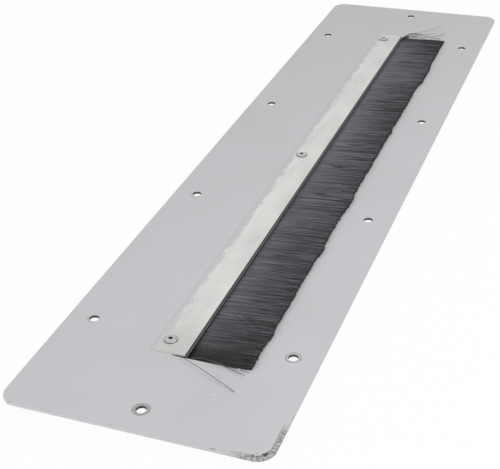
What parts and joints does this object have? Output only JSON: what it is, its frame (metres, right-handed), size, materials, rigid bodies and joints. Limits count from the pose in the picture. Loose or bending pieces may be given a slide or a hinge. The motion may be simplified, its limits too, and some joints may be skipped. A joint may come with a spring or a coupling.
{
  "type": "rack brush strip panel",
  "caption": "Flat panel with rounded corners and ten fixing holes round its edge; a riveted strip brush covers its cable slot.",
  "frame": {"origin": "centre of the screw-hole pattern, on the plate's back face", "axes": "+Z out of the plate's front face, +Y along its length, +X across it towards the bristle tips"},
  "size_m": [0.15, 0.61, 0.0089],
  "materials": {
    "coated_steel": "light grey powder coat, satin, chipped at one corner",
    "mill_aluminium": "mill finish, dull, lightly marked",
    "zinc_steel": "dull zinc",
    "steel_wire": "drawn wire",
    "black_nylon": "extruded filament, slight sheen",
    "rivet_aluminium": "pressed, semi-bright",
    "mandrel_steel": "dark, broken end"
  },
  "bodies": {
    "root": {"panel_plate": "coated_steel", "brush_holder": "mill_aluminium", "brush_channel": "zinc_steel", "core_wire": "steel_wire", "bristles": "black_nylon", "stray_bristles": "black_nylon", "rivet_near": "rivet_aluminium", "rivet_middle": "rivet_aluminium", "rivet_far": "rivet_aluminium", "mandrel_near": "mandrel_steel", "mandrel_middle": "mandrel_steel", "mandrel_far": "mandrel_steel"}
  },
  "joints": []
}
